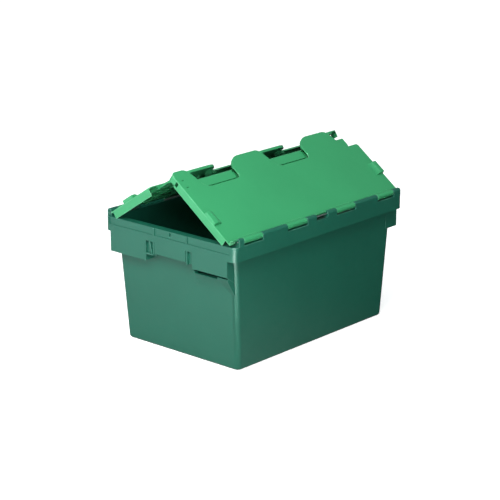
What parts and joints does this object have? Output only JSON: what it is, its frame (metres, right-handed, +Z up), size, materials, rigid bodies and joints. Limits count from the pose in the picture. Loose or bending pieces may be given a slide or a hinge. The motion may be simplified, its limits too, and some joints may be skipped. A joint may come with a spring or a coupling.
{
  "type": "attached lid tote",
  "caption": "Nesting plastic tote with tapered sides and interlocking finger-edged lids hinged along each long side, shown part open like a tent.",
  "frame": {"origin": "middle of the tote's underside, on the surface it stands on", "axes": "+X along the long sides, +Y across the tote from the front lid's hinge to the back lid's hinge, +Z up"},
  "size_m": [0.6, 0.4, 0.4366],
  "materials": {
    "body_plastic": "satin moulded polypropylene, dark green",
    "lid_plastic": "satin moulded polypropylene, bright green",
    "rod_steel": "galvanised"
  },
  "bodies": {
    "tub": {"container_body": "body_plastic", "front_hinge_rod": "rod_steel", "back_hinge_rod": "rod_steel"},
    "front_lid": {"front_lid": "lid_plastic"},
    "back_lid": {"back_lid": "lid_plastic"}
  },
  "joints": [
    {"name": "front_lid_hinge", "type": "hinge", "parent": "tub", "child": "front_lid", "pos_m": [0, -0.193, 0.309], "axis": [1, 0, 0], "range_deg": [-36.5, 216]},
    {"name": "back_lid_hinge", "type": "hinge", "parent": "tub", "child": "back_lid", "pos_m": [0, 0.193, 0.309], "axis": [-1, 0, 0], "range_deg": [-33.2, 219.3]}
  ]
}
